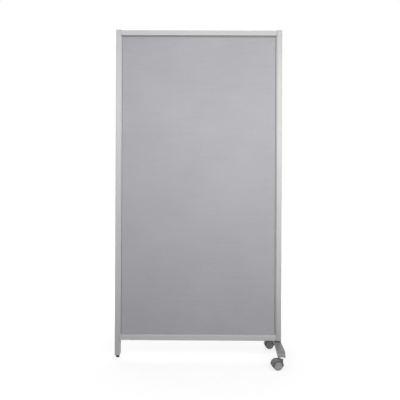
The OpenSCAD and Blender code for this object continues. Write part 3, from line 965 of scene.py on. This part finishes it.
@dataclass
class LevellingGlide:
    """Plug, threaded stem and pad under the left post."""

    shelf: FinishShelf
    pitch: float = 1.25
    root_radius: float = 3.3
    crest_radius: float = 4.0
    stem_end: float = 0.4
    steps: int = 32
    pad_radius: float = 10.0
    pad_round: float = 4.0
    pad_height: float = 15.0
    groove: Pair = (11.5, 12.4)
    groove_depth: float = 0.5
    seat: Pair = (4.05, 6.0)
    plug_edge: Softening = Softening(0.4 * MM, 3)
    pad_edge: Softening = Softening(0.3 * MM, 3)

    def build(self) -> None:
        """Build and dress the glide."""
        plug = Label("left_post_plug_moulding", "cap_plastic", ("left_post_plug",))
        softened(plug, self.shelf, self.plug_edge)
        self.pad()
        self.stem()

    def pad(self) -> None:
        """The pad, with a groove round it near its top."""
        wide, curve = self.pad_radius, self.pad_round
        arc = [(wide - curve + curve * math.sin(a), curve - curve * math.cos(a))
               for a in (math.radians(d) for d in range(0, 91, 10))]
        (low, high), (bore, floor) = self.groove, self.seat
        neck = wide - self.groove_depth
        profile = [(0.0, 0.0), *arc, (wide, low - 0.3), (neck, low), (neck, high),
                   (wide, high + 0.3), (wide, self.pad_height), (bore, self.pad_height),
                   (bore, floor), (0.0, floor)]
        shape = turned(profile, softening=self.pad_edge)
        bmesh.ops.translate(shape, vec=middle_of("glide_pad"), verts=shape.verts)
        label = Label("glide_pad_moulding", "black_plastic", ("glide_pad",), "glide_foot")
        hand_over(shape, label, self.shelf)

    def stem(self) -> None:
        """The stem with its thread, a ridge wound round the core."""
        bottom, top = (corner.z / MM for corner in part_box("glide_stem"))
        root, crest, end = self.root_radius, self.crest_radius, self.stem_end
        shape = turned([(0.0, bottom), (root - end, bottom), (root, bottom + end),
                        (root, top - end), (root - end, top), (0.0, top)], self.steps)
        turns = int((top - bottom) / self.pitch) - 1
        start, sunk = bottom + end, root - 0.15
        section = [(sunk, start), (crest, start + 0.45), (crest, start + 0.62),
                   (sunk, start + 1.07)]
        corners = [shape.verts.new((r * MM, 0.0, z * MM)) for r, z in section]
        loop = [shape.edges.new(pair) for pair in zip(corners, corners[1:] + corners[:1])]
        bmesh.ops.spin(shape, geom=corners + loop, cent=(0, 0, 0), axis=(0, 0, 1),
                       dvec=(0, 0, self.pitch * MM / self.steps), angle=math.tau * turns,
                       steps=self.steps * turns)
        bmesh.ops.holes_fill(shape, edges=[e for e in shape.edges if e.is_boundary], sides=4)
        bmesh.ops.recalc_face_normals(shape, faces=shape.faces)
        bmesh.ops.translate(shape, vec=middle_of("glide_pad"), verts=shape.verts)
        label = Label("glide_stem_thread", "plated_steel", ("glide_stem",), "glide_screw")
        hand_over(shape, label, self.shelf, 40.0)


# ---- the caster foot ----


@dataclass
class CasterFoot:
    """The arched foot with its spacer."""

    shelf: FinishShelf
    foot_edge: Softening = Softening(0.8 * MM, 3, 40.0)
    spacer_edge: Softening = Softening(0.5 * MM, 3)

    def build(self) -> None:
        """Build and dress the foot and the spacer."""
        foot = Label("caster_foot_casting", "foot_paint", ("caster_foot",))
        spacer = Label("foot_spacer_moulding", "black_plastic", ("foot_spacer",))
        softened(foot, self.shelf, self.foot_edge)
        softened(spacer, self.shelf, self.spacer_edge)


@dataclass
class Caster:
    """A twin-wheel caster: stem with its collar, hood, axle, wheels and tyres."""

    shelf: FinishShelf
    end: Face
    turn_degrees: float
    trail: float = 23.0 * MM
    wheel_radius: float = 25.0
    wheel_inner_face: float = 4.0
    wheel_width: float = 17.4
    wheel_edge: Softening = Softening(0.2 * MM, 2)
    axle_bore: Pair = (3.05, 3.0)
    hub_radius: float = 7.0
    rim_width: float = 2.5
    recess: float = 1.4
    tyre: float = 4.0
    tyre_edge: Softening = Softening(1.9 * MM, 5, 60.0)
    pin: Pair = (3.5, 44.6)
    collar: Point = (13.5, 56.0, 66.0)
    thread: Pair = (5.0, 78.0)
    stem_edge: Softening = Softening(0.4 * MM, 3)
    hood_edge: Softening = Softening(0.4 * MM, 3, 38.0)
    hood_rim: Softening = Softening(4.0 * MM, 6, 60.0)
    rim_from: float = 28.0 * MM
    rim_out: float = 22.5 * MM

    def __post_init__(self) -> None:
        """Name the caster and find its swivel axis."""
        self.name = f"{self.end.name.lower()}_caster"
        self.swivel = middle_of(f"{self.name}_stem")

    def build(self) -> None:
        """Build and dress the caster."""
        self.stem()
        self.hood()
        for roller in Roller:
            self.wheel(roller)
            self.tread(roller)

    def hood(self) -> None:
        """The hood, its two outer rims rounded more than its other edges."""
        node = f"{self.name}_hood"
        shape = merged_copy(node)
        upright = self.at_wheel(Roller.OUTER).inverted()
        middle = self.wheel_inner_face * MM

        def on_rim(edge: bmesh.types.BMEdge) -> bool:
            """Whether an edge lies along one of the hood's outer rims.

            Args:
                edge: the edge.

            Returns:
                True where both its ends do.
            """
            spots = [upright @ corner.co for corner in edge.verts]
            return all(math.hypot(spot.x, spot.y) > self.rim_from
                       and abs(spot.z + middle) > self.rim_out for spot in spots)

        self.hood_rim.apply(shape, on_rim)
        self.hood_edge.apply(shape)
        label = Label(f"{node}_moulding", "hood_plastic", (node,), self.name)
        hand_over(shape, label, self.shelf, even=True)

    def at_swivel(self) -> Matrix:
        """Place of the swivel axis, turned to the way the wheels trail."""
        turn = Matrix.Rotation(math.radians(self.turn_degrees), 4, "Z")
        return Matrix.Translation(self.swivel) @ turn

    def at_wheel(self, roller: Roller) -> Matrix:
        """Place of a wheel, with its axis on Z and its inner face at Z = 0.

        Args:
            roller: which wheel.

        Returns:
            The matrix.
        """
        way = roller.value * self.end.value
        axle = Matrix.Translation((-self.trail, 0.0, self.wheel_radius * MM))
        outward = Matrix.Rotation(math.radians(-90.0 * way), 4, "X")
        off_middle = Matrix.Translation((0, 0, self.wheel_inner_face * MM))
        return self.at_swivel() @ axle @ outward @ off_middle

    def stem(self) -> None:
        """The stem: swivel pin, grooved collar and thread end."""
        node = f"{self.name}_stem"
        (pin, foot), (ring, low, high), (thread, top) = self.pin, self.collar, self.thread
        neck, groove = ring - 1.2, ring - 0.6
        profile = [(0.0, foot), (pin, foot), (pin, low), (neck, low), (neck, low + 2.2),
                   (ring, low + 2.6), (ring, low + 5.2), (groove, low + 5.5),
                   (groove, low + 6.3), (ring, low + 6.6), (ring, high), (thread, high),
                   (thread, top), (0.0, top)]
        shape = turned(profile, 72, softening=self.stem_edge)
        bmesh.ops.transform(shape, matrix=self.at_swivel(), verts=shape.verts)
        hand_over(shape, Label(f"{node}_turned", "bright_zinc", (node,)), self.shelf)

    def hang(self, shape: Shape, roller: Roller, part: str, form: str, slot: str) -> None:
        """Put a piece that turns with a wheel in its place and finish it.

        Args:
            shape: the mesh, round Z, with the wheel's inner face at Z = 0.
            roller: which wheel.
            part: "wheel" or "tyre", as in the node's name.
            form: last word of the piece's name.
            slot: its slot.
        """
        bmesh.ops.transform(shape, matrix=self.at_wheel(roller), verts=shape.verts)
        side = f"{self.name}_{roller.name.lower()}"
        node = f"{side}_{part}"
        hand_over(shape, Label(f"{node}_{form}", slot, (node,), f"{side}_roller"), self.shelf)

    def wheel(self, roller: Roller) -> None:
        """A wheel with a hub cap, a raised ring and a rim on its outer face.

        Args:
            roller: which wheel.
        """
        rim, width, hub = self.wheel_radius - self.tyre, self.wheel_width, self.hub_radius
        inner_rim = rim - self.rim_width
        ring_out, ring_in, cap = rim * 0.68, rim * 0.60, rim * 0.20
        bore, end_wall = self.axle_bore
        web, sunk, raised = width * 0.6, width - self.recess, width - 0.6
        profile = [(0.0, width - end_wall), (bore, width - end_wall), (bore, 0.0), (hub, 0.0),
                   (hub, web), (inner_rim, web), (inner_rim, 0.0), (rim, 0.0),
                   (rim, width - 0.4), (rim - 0.4, width), (inner_rim, width),
                   (inner_rim - 0.5, sunk), (ring_out + 0.3, sunk), (ring_out, raised),
                   (ring_in, raised), (ring_in - 0.3, sunk), (cap + 3.2, sunk),
                   (cap + 2.6, sunk - 0.5), (cap + 0.5, sunk - 0.5), (cap, width - 0.5),
                   (cap - 0.8, width - 0.1), (0.0, width)]
        shape = turned(profile, softening=self.wheel_edge)
        self.hang(shape, roller, "wheel", "moulding", "wheel_plastic")

    def tread(self, roller: Roller) -> None:
        """A tyre, a little narrower where it meets the rim.

        Args:
            roller: which wheel.
        """
        outer, width = self.wheel_radius, self.wheel_width
        seat = outer - self.tyre
        profile = [(seat, 0.2), (seat + 0.3, 0.0), (outer, 0.0), (outer, width),
                   (seat + 0.3, width), (seat, width - 0.2)]
        shape = turned(profile, closed=True, softening=self.tyre_edge)
        self.hang(shape, roller, "tyre", "tread", "tyre_rubber")


# ---- carried-over nodes ----


@dataclass
class HiddenJoinery:
    """The CAD nodes that stay as they are and only take their finish."""

    shelf: FinishShelf

    def dress(self) -> None:
        """Give every node its finish, replaced ones too."""
        slots = {part["node"]: part["material_slot"] for part in frame["record"]["subparts"]}
        for node, piece in frame["nodes"].items():
            finish = self.shelf.finish(slots[node], node)
            if not piece.data.materials:
                piece.data.materials.append(None)
            for index in range(len(piece.data.materials)):
                piece.data.materials[index] = finish
            LOG.info("%s: dressed with %s", node, finish.name)


# ---- the studio ----


@dataclass
class PhotoCamera:
    """The camera that took the photograph, as its edges give it."""

    place: Point = (0.0277, -3.2, 1.0316)
    yaw_pitch_roll: Point = (-0.360, 0.268, 0.256)
    focal_px: float = 580.2
    rise_px: float = -32.6
    clip: Pair = (0.05, 80.0)

    def build(self) -> None:
        """Make the camera and take it for the scene."""
        yaw, pitch, roll = (math.radians(degrees) for degrees in self.yaw_pitch_roll)
        ahead = Vector((math.sin(yaw) * math.cos(pitch), math.cos(yaw) * math.cos(pitch),
                        math.sin(pitch)))
        level = Vector((math.cos(yaw), -math.sin(yaw), 0.0))
        above = level.cross(ahead)
        right = math.cos(roll) * level + math.sin(roll) * above
        up = -math.sin(roll) * level + math.cos(roll) * above
        data = bpy.data.cameras.new("photo_camera")
        data.sensor_width = SENSOR_MM
        data.lens = self.focal_px * SENSOR_MM / PHOTO_PX
        data.shift_y = self.rise_px / PHOTO_PX
        data.clip_start, data.clip_end = self.clip
        camera = into_scene("photo_camera", data)
        turn = Matrix((right, up, -ahead)).transposed().to_4x4()
        camera.matrix_world = Matrix.Translation(self.place) @ turn
        bpy.context.scene.camera = camera


@dataclass(frozen=True)
class SoftLamp:
    """An oblong studio lamp that looks at a point."""

    name: str
    place: Point
    target: Point
    watts: float
    size: Pair = (1.4, 0.9)

    def build(self) -> None:
        """Hang the lamp."""
        data = bpy.data.lights.new(self.name, "AREA")
        data.shape = "RECTANGLE"
        data.size, data.size_y = self.size
        data.energy = self.watts
        lamp = into_scene(self.name, data)
        lamp.location = self.place
        way = Vector(self.target) - Vector(self.place)
        lamp.rotation_euler = way.to_track_quat("-Z", "Y").to_euler()


@dataclass
class Studio:
    """White floor and surroundings, soft lamps from above, and the photograph's camera."""

    room_levels: Pair = (0.27, 0.32)
    floor_half: float = 14.0
    floor_colour: Colour = (0.30, 0.30, 0.30)
    glow_run: Pair = (0.6, 1.8)
    glow_levels: Pair = (0.76, 0.95)
    lamps: tuple[SoftLamp, ...] = (
        SoftLamp("front_left_lamp", (-0.25, -1.60, 1.55), (0.10, 0.0, 1.12), 14.2),
        SoftLamp("front_right_lamp", (1.10, -1.50, 1.40), (0.15, 0.0, 1.05), 16.2),
        SoftLamp("rear_left_lamp", (0.25, 1.60, 1.55), (-0.10, 0.0, 1.12), 13.0),
        SoftLamp("rear_right_lamp", (-1.20, 1.60, 1.50), (-0.10, 0.0, 1.10), 16.0),
    )

    def build(self) -> None:
        """Set up floor, world, lamps and camera."""
        bpy.context.scene.view_settings.view_transform = "Standard"
        self.floor()
        self.world()
        for lamp in self.lamps:
            lamp.build()
        PhotoCamera().build()

    def world(self) -> None:
        """Soft light, stronger from above, and plain white where the surroundings are seen."""
        world = bpy.data.worlds.new("studio_room")
        bpy.context.scene.world = world
        world.use_nodes = True
        wires = Wiring(world.node_tree)
        split = wires.node("ShaderNodeSeparateXYZ", {0: wires.coordinate("Generated")})
        level = wires.span(split.outputs["Z"], 0.0, 1.0, *self.room_levels)
        lights, shown = (wires.node("ShaderNodeBackground", {"Color": WHITE, "Strength": strength})
                         for strength in (level, 1.0))
        mix = wires.node("ShaderNodeMixShader", {
            0: wires.seen_directly(), 1: lights.outputs["Background"],
            2: shown.outputs["Background"]})
        wires.node("ShaderNodeOutputWorld", {"Surface": mix.outputs["Shader"]})

    def floor(self) -> None:
        """A pale floor that shows white and keeps the object's shadow."""
        material = new_material("studio_floor")
        wires = Wiring(material.node_tree)
        cloth = wires.node("ShaderNodeBsdfDiffuse", {"Color": self.floor_colour})
        reach = wires.node("ShaderNodeVectorMath", {0: wires.coordinate("Object")},
                           operation="LENGTH")
        shown = wires.span(reach.outputs["Value"], *self.glow_run, *self.glow_levels)
        level = wires.times(shown, wires.seen_directly())
        glow = wires.node("ShaderNodeEmission", {"Color": WHITE, "Strength": level})
        both = wires.node("ShaderNodeAddShader", {
            0: cloth.outputs["BSDF"], 1: glow.outputs["Emission"]})
        wires.node("ShaderNodeOutputMaterial", {"Surface": both.outputs["Shader"]})
        shape = bmesh.new()
        bmesh.ops.create_grid(shape, x_segments=2, y_segments=2, size=self.floor_half)
        mesh = as_mesh(shape, "studio_floor")
        mesh.materials.append(material)
        floor = into_scene("studio_floor", mesh)


def main() -> None:
    """Build the partition and its studio."""
    logging.basicConfig(level=logging.INFO, format="%(message)s")
    Studio().build()
    shelf = FinishShelf()
    HiddenJoinery(shelf).dress()
    ScreenFrame(shelf).build()
    for face in Face:
        PanelSkin(shelf, face).build()
    LevellingGlide(shelf).build()
    CasterFoot(shelf).build()
    for end, turn in REST_TURNS.items():
        Caster(shelf, end, turn).build()


if __name__ == "__main__":
    main()
